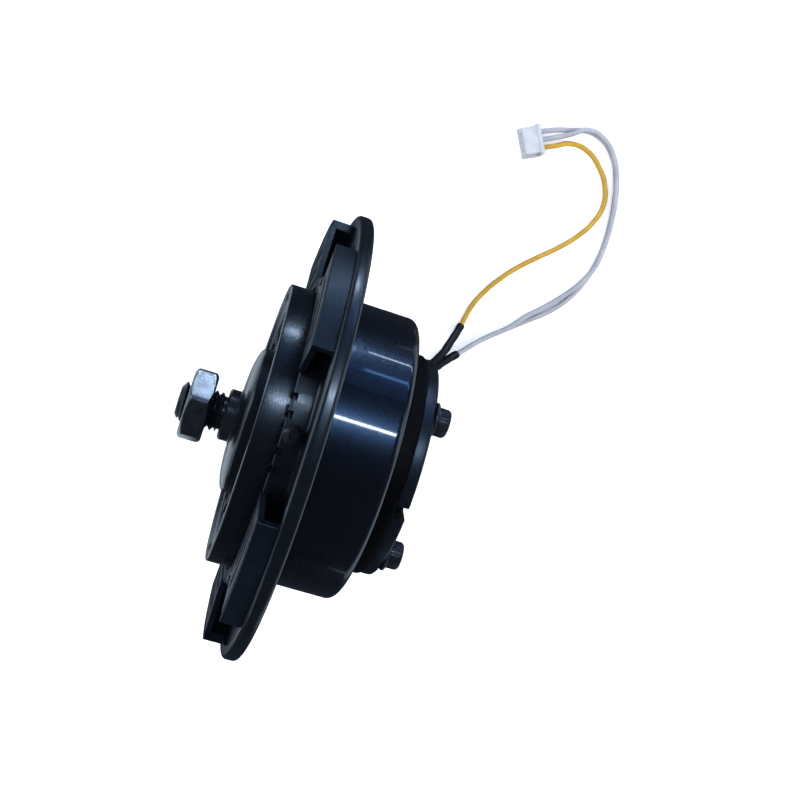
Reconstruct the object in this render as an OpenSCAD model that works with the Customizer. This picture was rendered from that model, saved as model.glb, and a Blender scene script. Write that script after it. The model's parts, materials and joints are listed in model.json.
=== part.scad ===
// Hub motor for a small wheel: a fixed axle and stator inside a turning can, with a ring
// flange that carries the wheel. The axle lies along Y, its threaded end towards -Y.
// The origin is the centre of the axle shoulder, where a fork or a dropout plate seats.
// Every part is drawn along Z from that shoulder, and on_axle() lays it along +Y.

/* [Axle] */
// Diameter of the axle thread
thread_d = 10; // [8:0.5:10]
// Pitch of the axle thread
thread_pitch = 1.5; // [1:0.25:2]
// Length of the thread in front of the shoulder
thread_len = 11.6; // [11.6:0.2:16]
// Gap between the nut and the shoulder
clamp_gap = 3.6; // [3:0.1:3.6]
// Size of the axle nut across its flats
nut_flats = 17; // [16:0.5:19]
// Height of the axle nut
nut_h = 6; // [5:0.5:7]
// Diameter of the shoulder collar
collar_d = 13; // [12.5:0.1:13]

/* [Bearings] */
// Bore of both bearings
bearing_bore = 12; // [12:0.1:12.2]
// Outer diameter of both bearings
bearing_od = 28; // [27.6:0.1:28]
// Width of both bearings
bearing_w = 8; // [7:0.5:8]
// Balls in each bearing
ball_count = 8; // [6:1:9]

/* [Rotor] */
// Outer diameter of the front drum
drum_d = 71.6; // [70:0.2:72]
// Outer diameter of the can
can_d = 73.6; // [73.6:0.2:75]
// Wall of the can
can_wall = 3.2; // [2.8:0.1:3.4]
// Outer diameter of the ring flange
ring_d = 114; // [108:1:120]
// Pods on the ring flange, and gaps between them
pod_count = 5; // [4:1:6]
// Angle that each pod covers
pod_span = 32; // [28:1:40]
// Pitch circle of the wheel bolt holes
wheel_pcd = 96; // [92:1:98]
// Diameter of the wheel bolt holes
wheel_hole_d = 4.2; // [3:0.1:5]
// Magnets inside the can
magnet_count = 14; // [10:2:16]

/* [Stator] */
// Outer diameter of the stator core
core_d = 61; // [60:0.1:61]
// Stator teeth and coils
tooth_count = 12; // [9:3:12]
// Outer diameter of the rear neck
neck_d = 57.6; // [56:0.2:58]
// Outer diameter of the rear plate
plate_d = 56.6; // [55:0.2:57]
// Thickness of the rear plate
plate_t = 3.2; // [2.5:0.1:4]
// Pitch circle of the rear plate screws
screw_pcd = 49; // [47:0.5:49]

/* [Leads] */
// Diameter of each insulated lead
lead_d = 1.6; // [1.2:0.1:1.6]
// Diameter of the sleeve on the single lead
sleeve_d = 2.5; // [2.2:0.1:2.5]
// Diameter of the sleeve on the pair of leads
pair_sleeve_d = 3.4; // [3:0.1:3.4]

/* [Connector] */
// Width of the connector housing
plug_w = 9.4; // [9:0.1:10]
// Length of the connector housing
plug_len = 6.2; // [6:0.1:9]
// Thickness of the connector housing
plug_t = 5.4; // [5:0.1:5.4]

/* [Hidden] */

$fn = 96;
cut = 0.5;              // how far a cutting shape runs past the face it cuts
running_gap = 0.04;     // radial gap of a running fit

// Places along the axle, from the shoulder
collar_w = 2.8;
boss_front = 3.1;
front_bearing_at = 6.4;
rear_bearing_at = 23.4;
drum_front = 6.2;
drum_floor = 9.4;
drum_back = 12.6;
spigot_end = 16.6;
rotor_screw_at = 14.6;
ring_front = 11.7;
lip_front = 16.5;
ring_back = 20;
core_at = 18.4;
core_len = 14;
insulator_t = 0.8;
can_back = 38.8;
can_lip_t = 2.2;
board_t = 0.45;
seal_at = 3.9;
seal_end = 6.2;
step_1_at = 8.5;        // the recess rises to the rim of the drum in two steps
step_2_at = 7.3;
groove_at = 31.55;      // the circlip's groove
groove_w = 1.1;
groove_depth = 0.3;
web_at = 37;
web_t = 2.2;
neck_back = 43.4;
plate_back = neck_back + plate_t;

// Radii
axle_r = bearing_bore / 2;
shoulder_r = 7.2;
circlip_r = 7.9;
inner_race_r = 8.3;
ball_pitch_r = 10;
ball_r = 2;
outer_race_r = 11.7;
hub_bore_r = 12.8;
hub_r = 17;
dome_r = 18.5;
nose_r = 8.6;
nose_bore_r = 7.7;
seal_r = 9.2;
floor_r = 29.8;         // outer radius of the recess floor
step_1_r = 31.4;
step_2_r = 32.8;
spigot_r = 30.2;
spacer_r = 7.6;
rib_w = 1.6;
drum_r = drum_d / 2;
can_r = can_d / 2;
can_bore_r = can_r - can_wall;
magnet_t = 2.5;
can_mouth_r = 30;
sleeve_wall_r = can_r + 3;
pod_r = 55.4;
pod_wall = 2.3;
pod_plate_t = 1.6;
inner_slot = [42.2, 44.6, pod_span - 11];   // radii and angle of each slot in a pod
outer_slot = [47.2, 49.6, pod_span - 9];
finger_w = 1.2;
finger_r = 41;
finger_len = 13;
tooth_dirs = [-12, -6, 6, 12];
tooth_gap_w = 1.8;
rotor_screw_r = 1.45;
rotor_screw_hole_r = 1.6;
rotor_head_r = 2.3;
rotor_head_h = 1.6;
ring_r = ring_d / 2;
lip_w = 3.5;
carrier_r = 20.5;
carrier_bore_r = 17.8;
core_r = core_d / 2;
neck_r = neck_d / 2;
neck_wall = 3.2;
bracket_hub_r = 10.5;
screw_r = screw_pcd / 2;
boss_r = 3.4;
m4_r = 2;
m4_hole_r = 2.15;
m4_head_r = 3.5;
m4_head_h = 3.2;
m4_socket_r = 1.73;
m4_socket_depth = 1.8;
washer_r = 4.4;
washer_t = 0.8;
recess_r = 14;          // the shallow recess in the middle of the rear plate
recess_depth = 0.6;
notch_w = 3.2;
notch_depth = 6.5;
grommet_w = 9.2;
grommet_flange_w = 10.4;
grommet_flange_t = 0.9;
plug_pitch = 2.5;
plug_flange_t = 1.4;
plug_rail_w = 1.8;
wire_bore_r = 0.95;
contact_w = 1.6;
contact_wall = 0.3;

// Directions round the axle, in degrees: 270 is the top, 90 the bottom, 180 the side that the leads lie on
top_dir = 270;
gap_step = 360 / pod_count;
lead_dir = 122;
screw_dir = 238;
notch_dir = 291;
nut_turn = 22.5;
lead_level = 41.3;      // where the leads leave, along the axle
yellow_offset = 2.1;    // height of the yellow lead's exit above the axle
white_offset = -1.9;    // height of the white pair's exit above the axle

// Routes of the leads and their sleeves, as X, Y and Z
yellow_route = [
    [-13.2, 41.3, -17.1], [-17.8, 41.3, -24.5], [-19.9, 42.6, -27.3], [-22.9, 45, -30.9],
    [-25.8, 48.2, -34.2], [-28.2, 51.1, -36.8], [-30.7, 53.6, -41], [-33.5, 56.2, -45.3],
    [-37.1, 58.5, -49.2], [-40.8, 60.1, -52.2], [-44, 61.4, -54.2], [-46.9, 62.3, -55.4],
    [-50.2, 63.1, -56.2], [-53.7, 63.9, -56.2], [-59.9, 66.8, -56.2], [-64.9, 70.2, -56.2],
    [-69.8, 74.3, -56.2], [-74.8, 79.5, -56.2], [-79.8, 84.9, -56.2], [-85.3, 89.9, -56.2],
    [-91.3, 93.6, -56.2], [-97.4, 95.2, -56.2], [-103.5, 93.9, -56.2],
    [-108.6, 90.3, -56.2], [-112.2, 85.2, -56.2], [-112.5, 79.4, -55.8],
    [-109.6, 74.1, -54.6], [-107.3, 69.6, -54.3]
];
white_a_route = [
    [-9.8, 42.1, -19.2], [-14.3, 42.1, -26.4], [-16.2, 43.4, -29.6], [-19.3, 45.7, -33.5],
    [-23.1, 49.1, -37.7], [-27.3, 52.7, -41.8], [-29.4, 55.4, -46.4], [-31.6, 57.8, -49.7],
    [-34, 59.9, -52], [-36.1, 61.9, -53.4], [-38.1, 63.7, -54.1], [-40.1, 65.5, -54.4],
    [-43.4, 68.5, -54.5], [-46.6, 71.9, -54.5], [-50.8, 76.8, -54.5], [-55.8, 81.1, -55],
    [-60.6, 86.2, -56.2], [-65.8, 90.9, -55.6], [-71.7, 95.1, -54.7], [-78, 97.9, -54.5],
    [-85.1, 98.9, -54.5], [-92.3, 98.9, -54.5], [-99.4, 98.2, -54.5], [-106.6, 96.4, -54.5],
    [-112.7, 93.6, -54.5], [-117.1, 88.9, -54.5], [-118.1, 83.2, -54.5],
    [-114.7, 77.8, -54.4], [-111.8, 72.9, -54.3], [-109.4, 68.5, -54.3]
];
white_b_route = [
    [-9.8, 40.5, -19.2], [-14.3, 40.5, -26.6], [-16.6, 41.8, -30.2], [-19.9, 44.3, -34.1],
    [-23.7, 47.7, -38.3], [-27.5, 51.3, -42.6], [-29.4, 54, -47.2], [-31.6, 56.6, -50.7],
    [-33.8, 58.9, -53.2], [-35.9, 61.3, -55], [-37.9, 63.5, -55.7], [-40.3, 65.9, -56.1],
    [-43.6, 68.9, -56.2], [-46.6, 72.1, -56.2], [-50.8, 77.1, -56.2], [-54.9, 82.1, -56.2],
    [-59.4, 87.6, -56.2], [-64.9, 92.4, -56.2], [-71.4, 96, -56.2], [-78, 98.1, -56.2],
    [-85.1, 99.1, -56.2], [-92.3, 99.1, -56.2], [-99.4, 98.4, -56.2], [-106.5, 96.7, -56.2],
    [-112.7, 93.8, -56.2], [-117, 89.1, -56.2], [-118.1, 83.4, -56.2],
    [-116.3, 77.3, -55.8], [-114, 71.7, -54.7], [-111.6, 67.3, -54.3]
];
sleeve_yellow_route = [
    [-15.9, 41.3, -21.5], [-17.8, 41.3, -24.5], [-19.9, 42.6, -27.3], [-22.9, 45, -30.9],
    [-25.8, 48.2, -34.2], [-28.2, 51.1, -36.8], [-30.7, 53.6, -41], [-33.5, 56.2, -45.3],
    [-37.1, 58.5, -49.2], [-40.8, 60.1, -52.2], [-44, 61.4, -54.2], [-46.9, 62.3, -55.4]
];
sleeve_white_route = [
    [-12.5, 41.3, -23.6], [-14.3, 41.3, -26.5], [-16.4, 42.6, -29.9], [-19.6, 45, -33.8],
    [-23.4, 48.4, -38], [-27.4, 52, -42.2], [-29.4, 54.7, -46.8], [-31.6, 57.2, -50.2],
    [-33.9, 59.4, -52.6], [-36, 61.6, -54.2], [-38, 63.6, -54.9]
];
plug_centre = [-108.3, 66.4, -54.3];
contact_at = -1.4;      // where the contacts start, from the middle of the connector
plug_yaw = -62;         // the way the connector faces, from +X

// Lays what is drawn along Z along +Y
module on_axle() {
    rotate([-90, 0, 0])
        children();
}

module tube(outer, inner, from, to) {
    translate([0, 0, from])
        difference() {
            cylinder(h = to - from, r = outer);
            translate([0, 0, -cut])
                cylinder(h = to - from + 2 * cut, r = inner);
        }
}

// A piece of a ring, centred on the direction mid
module arc_block(inner, outer, from, to, mid, span) {
    rotate([0, 0, mid - span / 2])
        rotate_extrude(angle = span)
            translate([inner, from])
                square([outer - inner, to - from]);
}

// Copies its children to count places, the first at the direction first
module around(count, first = 0) {
    for (i = [0 : count - 1])
        rotate([0, 0, first + i * 360 / count])
            children();
}

// A frame of rings carried along a route, so that a tube doesn't twist
function unit(v) = v / norm(v);
function heading(route, i) =
    i == 0 ? unit(route[1] - route[0]) :
    i == len(route) - 1 ? unit(route[i] - route[i - 1]) :
    unit(unit(route[i + 1] - route[i]) + unit(route[i] - route[i - 1]));
function carried(route, side, i = 0) =
    let (along = heading(route, i), flat = unit(side - (side * along) * along))
    i == len(route) - 1 ? [flat] : concat([flat], carried(route, flat, i + 1));

// A tube with a round section along a route
module cord(route, diameter, sides = 8) {
    flats = carried(route, [0, 1, 0.1]);
    last = len(route) - 1;
    points = [
        for (i = [0 : last], k = [0 : sides - 1])
            let (turn = k * 360 / sides, other = cross(heading(route, i), flats[i]))
            route[i] + diameter / 2 * (cos(turn) * flats[i] + sin(turn) * other)
    ];
    walls = [
        for (i = [0 : last - 1], k = [0 : sides - 1])
            let (next = (k + 1) % sides)
            [i * sides + k, (i + 1) * sides + k, (i + 1) * sides + next, i * sides + next]
    ];
    start_cap = [for (k = [0 : sides - 1]) k];
    end_cap = [for (k = [sides - 1 : -1 : 0]) last * sides + k];
    polyhedron(points, concat([start_cap], walls, [end_cap]), convexity = 6);
}

// Half section of the thread, from the tip to the shoulder
function thread_edge() = let (
        root = thread_d / 2 - 0.55 * thread_pitch,
        turns = floor((thread_len - 1.6) / thread_pitch))
    [for (i = [0 : turns - 1], step = [0 : 3])
        let (at = -thread_len + 1 + i * thread_pitch)
        step == 0 ? [root, at] :
        step == 1 ? [root, at + 0.15 * thread_pitch] :
        step == 2 ? [thread_d / 2, at + 0.5 * thread_pitch] :
        [thread_d / 2, at + 0.65 * thread_pitch]];

module axle() {
    color([0.13, 0.13, 0.14])
    on_axle()
        rotate_extrude()
            polygon(concat(
                [[0, -thread_len], [thread_d / 2 - 1.3, -thread_len]],
                thread_edge(),
                [
                    [thread_d / 2 - 0.8, -0.8], [thread_d / 2 - 0.8, 0],
                    [collar_d / 2 - 0.4, 0], [collar_d / 2, 0.4],
                    [collar_d / 2, collar_w], [shoulder_r, collar_w],
                    [shoulder_r, front_bearing_at], [axle_r, front_bearing_at],
                    [axle_r, groove_at], [axle_r - groove_depth, groove_at],
                    [axle_r - groove_depth, groove_at + groove_w],
                    [axle_r, groove_at + groove_w],
                    [axle_r, neck_back - 0.7], [axle_r - 0.5, neck_back - 0.2],
                    [0, neck_back - 0.2]
                ]));
}

// A hexagon with both of its faces chamfered
module axle_nut() {
    corner_r = nut_flats / 2 / cos(30);
    face_r = nut_flats / 2 - 0.3;
    outer_r = corner_r + 0.6;
    bevel = 0.53 * (outer_r - face_r);
    bore_r = thread_d / 2 + running_gap;
    color([0.72, 0.76, 0.82])
    on_axle()
        translate([0, 0, -clamp_gap - nut_h])
            difference() {
                intersection() {
                    rotate([0, 0, nut_turn])
                        cylinder(h = nut_h, r = corner_r, $fn = 6);
                    rotate_extrude()
                        polygon([
                            [0, 0], [face_r, 0], [outer_r, bevel],
                            [outer_r, nut_h - bevel], [face_r, nut_h], [0, nut_h]
                        ]);
                }
                rotate_extrude()
                    polygon([
                        [0, -cut], [bore_r + 0.8 + cut, -cut], [bore_r, 0.8],
                        [bore_r, nut_h - 0.8], [bore_r + 0.8 + cut, nut_h + cut], [0, nut_h + cut]
                    ]);
            }
}

module bearing_spacer() {
    color([0.6, 0.62, 0.65])
    on_axle()
        tube(spacer_r, axle_r, front_bearing_at + bearing_w, rear_bearing_at);
}

module axle_circlip() {
    color([0.25, 0.25, 0.27])
    on_axle()
        difference() {
            tube(circlip_r, axle_r - groove_depth + 0.05, groove_at + 0.05, groove_at + groove_w - 0.05);
            translate([0, -1.6, groove_at - 0.5])
                cube([circlip_r + 1, 3.2, groove_w + 1]);
        }
}

module dust_seal() {
    color([0.08, 0.08, 0.08])
    on_axle()
        tube(seal_r, shoulder_r + 0.05, seal_at, seal_end);
}

// The two races: each has a groove for the balls
module race(inner, outer, from) {
    difference() {
        tube(outer, inner, from, from + bearing_w);
        rotate_extrude()
            translate([ball_pitch_r, from + bearing_w / 2])
                circle(r = ball_r + 0.06, $fn = 48);
    }
}

module balls(from) {
    around(ball_count)
        translate([ball_pitch_r, 0, from + bearing_w / 2])
            sphere(r = ball_r, $fn = 48);
}

module cage(from) {
    difference() {
        tube(ball_pitch_r + 0.7, ball_pitch_r - 0.7, from + 1.2, from + bearing_w - 1.2);
        around(ball_count)
            translate([ball_pitch_r - 2, 0, from + bearing_w / 2])
                rotate([0, 90, 0])
                    cylinder(h = 4, r = ball_r + 0.08);
    }
}

module front_bearing_inner() {
    color([0.8, 0.81, 0.83])
    on_axle()
        race(axle_r, inner_race_r, front_bearing_at);
}

module front_bearing_outer() {
    color([0.8, 0.81, 0.83])
    on_axle()
        race(outer_race_r, bearing_od / 2, front_bearing_at);
}

module front_bearing_balls() {
    color([0.9, 0.9, 0.92])
    on_axle()
        balls(front_bearing_at);
}

module front_bearing_cage() {
    color([0.7, 0.6, 0.35])
    on_axle()
        cage(front_bearing_at);
}

module rear_bearing_inner() {
    color([0.8, 0.81, 0.83])
    on_axle()
        race(axle_r, inner_race_r, rear_bearing_at);
}

module rear_bearing_outer() {
    color([0.8, 0.81, 0.83])
    on_axle()
        race(outer_race_r, bearing_od / 2, rear_bearing_at);
}

module rear_bearing_balls() {
    color([0.9, 0.9, 0.92])
    on_axle()
        balls(rear_bearing_at);
}

module rear_bearing_cage() {
    color([0.7, 0.6, 0.35])
    on_axle()
        cage(rear_bearing_at);
}

// Half section of the drum's dome, a shallow convex curve from the nose to its shoulder
function dome_edge() = [
    for (i = [0 : 5])
        let (t = i / 5)
        [nose_r + (dome_r - nose_r) * sin(90 * t), boss_front + 2.2 * (1 - cos(90 * t))]
];

// The front end of the rotor, with the hub that runs on both bearings
module front_drum() {
    hub_end = rear_bearing_at + bearing_w + 0.1;
    color([0.07, 0.08, 0.1])
    on_axle()
        difference() {
            union() {
                rotate_extrude()
                    polygon(concat(
                        [[nose_bore_r, boss_front]],
                        dome_edge(),
                        [
                            [dome_r + 0.6, drum_floor], [floor_r, drum_floor],
                            [floor_r + 0.4, step_1_at], [step_1_r, step_1_at],
                            [step_1_r + 0.2, step_2_at], [step_2_r, step_2_at],
                            [step_2_r + 0.4, drum_front], [drum_r - 0.5, drum_front],
                            [drum_r, drum_front + 0.5], [drum_r, drum_back],
                            [can_bore_r, drum_back], [can_bore_r, spigot_end],
                            [spigot_r, spigot_end], [spigot_r, drum_back],
                            [hub_r, drum_back], [hub_r, hub_end],
                            [bearing_od / 2, hub_end], [bearing_od / 2, rear_bearing_at],
                            [hub_bore_r, rear_bearing_at],
                            [hub_bore_r, front_bearing_at + bearing_w],
                            [bearing_od / 2, front_bearing_at + bearing_w],
                            [bearing_od / 2, front_bearing_at],
                            [seal_r, front_bearing_at], [seal_r, seal_at], [nose_bore_r, seal_at]
                        ]));
                around(2 * pod_count, top_dir + gap_step / 4)
                    translate([dome_r, -rib_w / 2, drum_floor - 1.3])
                        cube([floor_r + 0.2 - dome_r, rib_w, rib_w]);
            }
            around(pod_count, top_dir)
                translate([can_bore_r + 1, 0, rotor_screw_at])
                    rotate([0, -90, 0])
                        cylinder(h = 5, r = rotor_screw_r + 0.05);
        }
}

// A pod: a slotted front plate and the outer wall that carries it
module pod() {
    difference() {
        union() {
            arc_block(sleeve_wall_r - 0.5, pod_r, ring_front, ring_front + pod_plate_t, 0, pod_span);
            arc_block(pod_r - pod_wall, pod_r, ring_front, lip_front + 1.5, 0, pod_span);
        }
        for (slot = [inner_slot, outer_slot])
            arc_block(slot[0], slot[1], ring_front - cut, ring_front + pod_plate_t + cut, 0, slot[2]);
    }
    for (side = [-1, 1])
        rotate([0, 0, side * pod_span / 6])
            translate([finger_r, -finger_w / 2, ring_front + 0.6])
                cube([finger_len, finger_w, pod_plate_t]);
}

// The flange that carries the wheel: a sleeve over the can, a rear disc with a thick lip,
// and pods with open gaps between them
module ring_flange() {
    color([0.09, 0.1, 0.12])
    on_axle()
        difference() {
            union() {
                rotate_extrude()
                    polygon([
                        [can_r, ring_front + 0.4], [sleeve_wall_r - 0.4, ring_front + 0.4],
                        [sleeve_wall_r, ring_front + 0.8], [sleeve_wall_r, 17],
                        [40.4, 17.4], [ring_r - lip_w, 17.4], [ring_r - lip_w, 17],
                        [ring_r - lip_w + 0.5, lip_front], [ring_r - 1, lip_front],
                        [ring_r - 0.3, lip_front + 0.3], [ring_r, lip_front + 1],
                        [ring_r, ring_back - 1.2], [ring_r - 0.35, ring_back - 0.35],
                        [ring_r - 1.2, ring_back], [can_r, ring_back]
                    ]);
                around(pod_count, top_dir + gap_step / 2)
                    pod();
            }
            around(pod_count, top_dir)
                translate([wheel_pcd / 2, 0, 16])
                    cylinder(h = 5, r = wheel_hole_d / 2);
            around(pod_count, top_dir)
                translate([sleeve_wall_r + 1, 0, rotor_screw_at])
                    rotate([0, -90, 0])
                        cylinder(h = 5, r = rotor_screw_hole_r);
            around(pod_count, top_dir)
                for (tooth = tooth_dirs)
                    rotate([0, 0, tooth])
                        translate([can_r - 1, -tooth_gap_w / 2, ring_front])
                            cube([5, tooth_gap_w, 1.5]);
        }
}

module rotor_can() {
    color([0.03, 0.04, 0.06])
    on_axle()
        difference() {
            rotate_extrude()
                polygon([
                    [can_bore_r, drum_back], [can_r - 0.3, drum_back], [can_r, drum_back + 0.3],
                    [can_r, can_back - 2], [can_r - 0.15, can_back - 1.23],
                    [can_r - 0.59, can_back - 0.59], [can_r - 1.23, can_back - 0.15],
                    [can_r - 2, can_back], [can_mouth_r, can_back],
                    [can_mouth_r, can_back - can_lip_t],
                    [can_bore_r, can_back - can_lip_t]
                ]);
            around(pod_count, top_dir)
                translate([can_r + 1, 0, rotor_screw_at])
                    rotate([0, -90, 0])
                        cylinder(h = 5, r = rotor_screw_hole_r);
        }
}

// Button-head screws that hold the ring flange, the can and the drum together
module rotor_screws() {
    color([0.2, 0.2, 0.22])
    on_axle()
        around(pod_count, top_dir)
            translate([sleeve_wall_r, 0, rotor_screw_at])
                rotate([0, 90, 0])
                    difference() {
                        union() {
                            translate([0, 0, -8.5])
                                cylinder(h = 8.5, r = rotor_screw_r);
                            intersection() {
                                cylinder(h = rotor_head_h, r = rotor_head_r);
                                translate([0, 0, rotor_head_h - 2.95])
                                    sphere(r = 2.95, $fn = 48);
                            }
                        }
                        translate([0, 0, 0.6])
                            cylinder(h = 2, r = 1.15, $fn = 6);
                    }
}

module magnets() {
    color([0.55, 0.57, 0.6])
    on_axle()
        for (i = [0 : magnet_count - 1])
            arc_block(can_bore_r - magnet_t, can_bore_r, 17, 34.4,
                i * 360 / magnet_count, 300 / magnet_count);
}

// The outline of the stator core across the axle
module core_section(tooth_w, tip_span) {
    difference() {
        circle(r = carrier_r + 3);
        circle(r = carrier_r);
    }
    around(tooth_count)
        translate([carrier_r + 2, -tooth_w / 2])
            square([core_r - carrier_r - 3.2, tooth_w]);
    difference() {
        circle(r = core_r);
        circle(r = core_r - 1.4);
        around(tooth_count, 180 / tooth_count)
            translate([core_r - 3, -tip_span])
                square([6, 2 * tip_span]);
    }
}

module stator_core() {
    color([0.4, 0.41, 0.43])
    on_axle()
        translate([0, 0, core_at])
            linear_extrude(core_len)
                core_section(5, 1);
}

module front_insulator() {
    color([0.85, 0.85, 0.8])
    on_axle()
        translate([0, 0, core_at - insulator_t])
            linear_extrude(insulator_t)
                core_section(5, 1.3);
}

module rear_insulator() {
    color([0.85, 0.85, 0.8])
    on_axle()
        translate([0, 0, core_at + core_len])
            linear_extrude(insulator_t)
                core_section(5, 1.3);
}

// A coil wound round one tooth, drawn as a rounded frame
module coil() {
    wire_w = 2.1;
    inner_w = 5.1;
    inner_len = core_len + 2 * insulator_t + 0.1;
    translate([23.7, 0, core_at + core_len / 2])
        rotate([90, 0, 90])
            linear_extrude(5)
                difference() {
                    union() {
                        square([inner_w + 2 * wire_w, inner_len], center = true);
                        square([inner_w, inner_len + 2 * wire_w], center = true);
                        for (x = [-1, 1], y = [-1, 1])
                            translate([x * inner_w / 2, y * inner_len / 2])
                                circle(r = wire_w, $fn = 24);
                    }
                    square([inner_w, inner_len], center = true);
                }
}

// The coils of one phase, which follow each other by three teeth
module phase(first) {
    color([0.72, 0.4, 0.2])
    on_axle()
        for (i = [0 : tooth_count / 3 - 1])
            rotate([0, 0, (3 * i + first) * 360 / tooth_count])
                coil();
}

module coils_a() {
    phase(0);
}

module coils_b() {
    phase(1);
}

module coils_c() {
    phase(2);
}

// The board that joins the coils to the leads, cut away round the screw bosses
module terminal_board() {
    color([0.1, 0.35, 0.18])
    on_axle()
        difference() {
            tube(25, bracket_hub_r + 0.5, web_at + web_t, web_at + web_t + board_t);
            around(4, screw_dir)
                translate([screw_r, 0, web_at])
                    cylinder(h = 6, r = boss_r + 0.5);
        }
}

// The bracket that holds the axle, the stator core and the rear plate
module rear_bracket() {
    color([0.05, 0.05, 0.06])
    on_axle()
        difference() {
            union() {
                tube(carrier_r, carrier_bore_r, core_at - insulator_t, web_at + 0.5);
                tube(bracket_hub_r, axle_r, 33.4, neck_back);
                tube(neck_r, axle_r, web_at, web_at + web_t);
                tube(neck_r, neck_r - neck_wall, web_at, neck_back);
                around(4, screw_dir)
                    translate([screw_r, 0, web_at])
                        cylinder(h = neck_back - web_at, r = boss_r);
            }
            around(4, screw_dir)
                translate([screw_r, 0, web_at + 0.6])
                    cylinder(h = 8, r = m4_r + 0.02);
            rotate([0, 0, lead_dir])
                translate([neck_r - neck_wall - 1, -grommet_w / 2, web_at + web_t])
                    cube([neck_wall + 2, grommet_w, 6]);
            rotate([0, 0, lead_dir])
                translate([22.6, 0, web_at - 1])
                    cylinder(h = 6, r = 1.6);
        }
}

module rear_plate() {
    color([0.09, 0.1, 0.13])
    on_axle()
        difference() {
            rotate_extrude()
                polygon([
                    [0, neck_back], [plate_d / 2, neck_back],
                    [plate_d / 2, plate_back - 0.6], [plate_d / 2 - 0.6, plate_back],
                    [recess_r, plate_back], [recess_r - 0.6, plate_back - recess_depth],
                    [0, plate_back - recess_depth]
                ]);
            around(4, screw_dir)
                translate([screw_r, 0, neck_back - cut])
                    cylinder(h = plate_t + 2 * cut, r = m4_hole_r);
            rotate([0, 0, notch_dir])
                translate([plate_d / 2 - notch_depth, -notch_w / 2, neck_back - cut])
                    cube([notch_depth + 1, notch_w, plate_t + 2 * cut]);
        }
}

module plate_washers() {
    color([0.12, 0.12, 0.14])
    on_axle()
        around(4, screw_dir)
            translate([screw_r, 0, 0])
                tube(washer_r, m4_hole_r, plate_back, plate_back + washer_t);
}

module plate_screws() {
    head_at = plate_back + washer_t;
    head_end = head_at + m4_head_h;
    color([0.08, 0.09, 0.11])
    on_axle()
        around(4, screw_dir)
            translate([screw_r, 0, 0])
                difference() {
                    union() {
                        translate([0, 0, web_at + 0.8])
                            cylinder(h = head_at - web_at, r = m4_r);
                        rotate_extrude()
                            polygon([
                                [0, head_at], [m4_head_r, head_at], [m4_head_r, head_end - 0.4],
                                [m4_head_r - 0.4, head_end], [0, head_end]
                            ]);
                    }
                    translate([0, 0, head_end - m4_socket_depth])
                        cylinder(h = 3, r = m4_socket_r, $fn = 6);
                }
}

// The rubber grommet in the neck, with a bore for each sleeve
module lead_grommet() {
    slot_from = web_at + web_t;
    color([0.05, 0.05, 0.05])
    on_axle()
        rotate([0, 0, lead_dir])
            difference() {
                union() {
                    translate([neck_r - neck_wall - 0.1, -grommet_w / 2, slot_from])
                        cube([neck_wall + 0.1, grommet_w, neck_back - slot_from]);
                    translate([neck_r, -grommet_flange_w / 2, slot_from + 0.1])
                        cube([grommet_flange_t, grommet_flange_w, neck_back - slot_from - 0.2]);
                }
                translate([neck_r - 5, yellow_offset, lead_level])
                    rotate([0, 90, 0])
                        cylinder(h = 8, r = sleeve_d / 2 + 0.05);
                translate([neck_r - 5, white_offset, lead_level])
                    rotate([0, 90, 0])
                        cylinder(h = 8, r = pair_sleeve_d / 2 + 0.05);
            }
}

module sleeve_yellow() {
    color([0.04, 0.04, 0.04])
        cord(sleeve_yellow_route, sleeve_d);
}

module sleeve_white() {
    color([0.04, 0.04, 0.04])
        cord(sleeve_white_route, pair_sleeve_d);
}

module lead_yellow() {
    color([0.87, 0.64, 0.16])
        cord(yellow_route, lead_d);
}

module lead_white_a() {
    color([0.82, 0.83, 0.9])
        cord(white_a_route, lead_d);
}

module lead_white_b() {
    color([0.78, 0.8, 0.86])
        cord(white_b_route, lead_d);
}

// Lays what is drawn with its wire side towards -X at the connector's place
module at_plug() {
    translate(plug_centre)
        rotate([0, 0, plug_yaw])
            children();
}

// The housing, with a wire bore and a contact cavity for each lead, and a foot at each side
module connector_housing() {
    bottom = -ring_r - plug_centre.z;
    color([0.93, 0.93, 0.9])
    at_plug()
        difference() {
            union() {
                translate([-plug_len / 2, -plug_w / 2 + 0.5, bottom])
                    cube([plug_len, plug_w - 1, plug_t]);
                translate([-plug_len / 2, -plug_w / 2, bottom])
                    cube([plug_flange_t, plug_w, plug_t]);
                for (side = [-1, 1])
                    translate([0, side * (plug_w - plug_rail_w) / 2, bottom + 0.85])
                        cube([plug_len, plug_rail_w, 1.7], center = true);
            }
            for (i = [-1 : 1]) {
                translate([-plug_len / 2 - cut, i * plug_pitch, 0])
                    rotate([0, 90, 0])
                        cylinder(h = plug_len / 2, r = wire_bore_r, $fn = 32);
                translate([contact_at - 0.1, i * plug_pitch - wire_bore_r, -wire_bore_r])
                    cube([plug_len, 2 * wire_bore_r, 2 * wire_bore_r]);
            }
        }
}

module connector_contacts() {
    color([0.82, 0.74, 0.5])
    at_plug()
        for (i = [-1 : 1])
            translate([contact_at, i * plug_pitch, 0])
                difference() {
                    translate([0, -contact_w / 2, -contact_w / 2])
                        cube([plug_len / 2 - contact_at - 0.8, contact_w, contact_w]);
                    translate([1, contact_wall - contact_w / 2, contact_wall - contact_w / 2])
                        cube([plug_len, contact_w - 2 * contact_wall, contact_w - 2 * contact_wall]);
                }
}

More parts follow.
